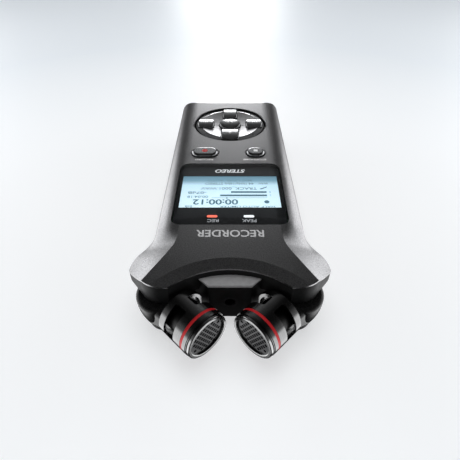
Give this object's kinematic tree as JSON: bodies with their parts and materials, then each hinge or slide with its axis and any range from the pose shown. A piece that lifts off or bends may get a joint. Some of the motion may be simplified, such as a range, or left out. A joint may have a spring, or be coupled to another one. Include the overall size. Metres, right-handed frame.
{
  "type": "handheld voice recorder",
  "caption": "Handheld stereo voice recorder with a display, a round key pad and a pair of swinging microphones on the end.",
  "frame": {"origin": "under the middle of the recorder's box, on the plane its back lies on", "axes": "+X to the right when the display is read with the microphones at the top, +Y along the recorder towards the microphones, +Z out of the display"},
  "size_m": [0.0688, 0.1575, 0.0262],
  "materials": {
    "silver_cover": "satin grey paint",
    "black_shell": "fine matt texture",
    "black_gloss": "gloss",
    "window_lens": "clear acrylic",
    "window_mask": "black printed film",
    "lcd": "pale blue display",
    "dark_plastic": "matt",
    "chrome_trim": "bright plated",
    "silicone": "matt translucent grey",
    "circuit_board": "solder mask",
    "spring_steel": "nickel plated",
    "screw_steel": "black zinc",
    "brass": "machined",
    "socket_black": "satin",
    "socket_steel": "plated",
    "black_key": "gloss",
    "silver_key": "silver paint",
    "red_light": "translucent red",
    "white_light": "translucent white",
    "cell_label": "printed sleeve",
    "gunmetal": "dark anodised",
    "red_ring": "red anodised",
    "bright_metal": "polished",
    "grille_metal": "perforated",
    "dark_metal": "black anodised"
  },
  "bodies": {
    "recorder": {"front_cover": "silver_cover", "front_frame": "black_shell", "back_cover": "black_shell", "jack_block": "black_shell", "jack_block_cap": "silver_cover", "display_window": "window_lens", "display_mask": "window_mask", "lcd_glass": "lcd", "lcd_frame": "dark_plastic", "pad_ring": "chrome_trim", "pad_plate": "dark_plastic", "keypad_membrane": "silicone", "tact_switches": "dark_plastic", "main_board": "circuit_board", "battery_springs": "spring_steel", "battery_contacts": "spring_steel", "case_screws": "screw_steel", "hinge_pins": "screw_steel", "tripod_insert": "brass", "speaker": "dark_plastic", "ext_mic_jack": "socket_black", "phones_jack": "socket_black", "usb_port": "socket_steel", "card_slot": "socket_steel", "switch_body": "dark_plastic", "record_light": "red_light", "peak_light": "white_light", "battery_cell_right": "cell_label", "battery_cell_left": "cell_label"},
    "mic_right": {"mic_arm_right": "black_gloss", "mic_cage_right": "gunmetal", "mic_ring_right": "red_ring", "mic_rim_right": "bright_metal", "mic_grille_right": "grille_metal", "mic_capsule_right": "dark_metal"},
    "mic_left": {"mic_arm_left": "black_gloss", "mic_cage_left": "gunmetal", "mic_ring_left": "red_ring", "mic_rim_left": "bright_metal", "mic_grille_left": "grille_metal", "mic_capsule_left": "dark_metal"},
    "record_key": {"record_key": "black_key"},
    "stop_key": {"stop_key": "black_key"},
    "play_key": {"play_key": "black_key"},
    "forward_key": {"forward_key": "black_key"},
    "rewind_key": {"rewind_key": "black_key"},
    "up_key": {"up_key": "black_key"},
    "down_key": {"down_key": "black_key"},
    "menu_key": {"menu_key": "silver_key"},
    "quick_key": {"quick_key": "silver_key"},
    "loop_key": {"loop_key": "silver_key"},
    "mark_key": {"mark_key": "silver_key"},
    "battery_door": {"battery_door": "black_shell"},
    "card_cover": {"card_cover": "black_shell"},
    "power_switch": {"power_switch": "black_gloss"}
  },
  "joints": [
    {"name": "mic_right_swing", "type": "hinge", "parent": "recorder", "child": "mic_right", "pos_m": [0.023, 0.05689, 0.01], "axis": [0, 0, 1], "range_deg": [-90, 0]},
    {"name": "mic_left_swing", "type": "hinge", "parent": "recorder", "child": "mic_left", "pos_m": [-0.023, 0.05689, 0.01], "axis": [0, 0, 1], "range_deg": [0, 90]},
    {"name": "record_key_press", "type": "slide", "parent": "recorder", "child": "record_key", "axis": [0, 0, -1], "range_m": [0, 0.0005], "stiffness_N_per_m": 1500, "springref_m": -0.0006},
    {"name": "stop_key_press", "type": "slide", "parent": "recorder", "child": "stop_key", "axis": [0, 0, -1], "range_m": [0, 0.0005], "stiffness_N_per_m": 1500, "springref_m": -0.0006},
    {"name": "play_key_press", "type": "slide", "parent": "recorder", "child": "play_key", "axis": [0, 0, -1], "range_m": [0, 0.0005], "stiffness_N_per_m": 1500, "springref_m": -0.0006},
    {"name": "forward_key_press", "type": "slide", "parent": "recorder", "child": "forward_key", "axis": [0, 0, -1], "range_m": [0, 0.0005], "stiffness_N_per_m": 1500, "springref_m": -0.0006},
    {"name": "rewind_key_press", "type": "slide", "parent": "recorder", "child": "rewind_key", "axis": [0, 0, -1], "range_m": [0, 0.0005], "stiffness_N_per_m": 1500, "springref_m": -0.0006},
    {"name": "up_key_press", "type": "slide", "parent": "recorder", "child": "up_key", "axis": [0, 0, -1], "range_m": [0, 0.0005], "stiffness_N_per_m": 1500, "springref_m": -0.0006},
    {"name": "down_key_press", "type": "slide", "parent": "recorder", "child": "down_key", "axis": [0, 0, -1], "range_m": [0, 0.0005], "stiffness_N_per_m": 1500, "springref_m": -0.0006},
    {"name": "menu_key_press", "type": "slide", "parent": "recorder", "child": "menu_key", "axis": [0, 0, -1], "range_m": [0, 0.0005], "stiffness_N_per_m": 1500, "springref_m": -0.0006},
    {"name": "quick_key_press", "type": "slide", "parent": "recorder", "child": "quick_key", "axis": [0, 0, -1], "range_m": [0, 0.0005], "stiffness_N_per_m": 1500, "springref_m": -0.0006},
    {"name": "loop_key_press", "type": "slide", "parent": "recorder", "child": "loop_key", "axis": [0, 0, -1], "range_m": [0, 0.0005], "stiffness_N_per_m": 1500, "springref_m": -0.0006},
    {"name": "mark_key_press", "type": "slide", "parent": "recorder", "child": "mark_key", "axis": [0, 0, -1], "range_m": [0, 0.0005], "stiffness_N_per_m": 1500, "springref_m": -0.0006},
    {"name": "battery_door_slide", "type": "slide", "parent": "recorder", "child": "battery_door", "axis": [0, -1, 0], "range_m": [0, 0.0625]},
    {"name": "power_switch_slide", "type": "slide", "parent": "recorder", "child": "power_switch", "axis": [0, 1, 0], "range_m": [-0.0015, 0.0015]},
    {"name": "card_cover_swing", "type": "hinge", "parent": "recorder", "child": "card_cover", "pos_m": [0.02755, 0.01119, 0.0112], "axis": [0, 1, 0], "range_deg": [0, 95]}
  ]
}
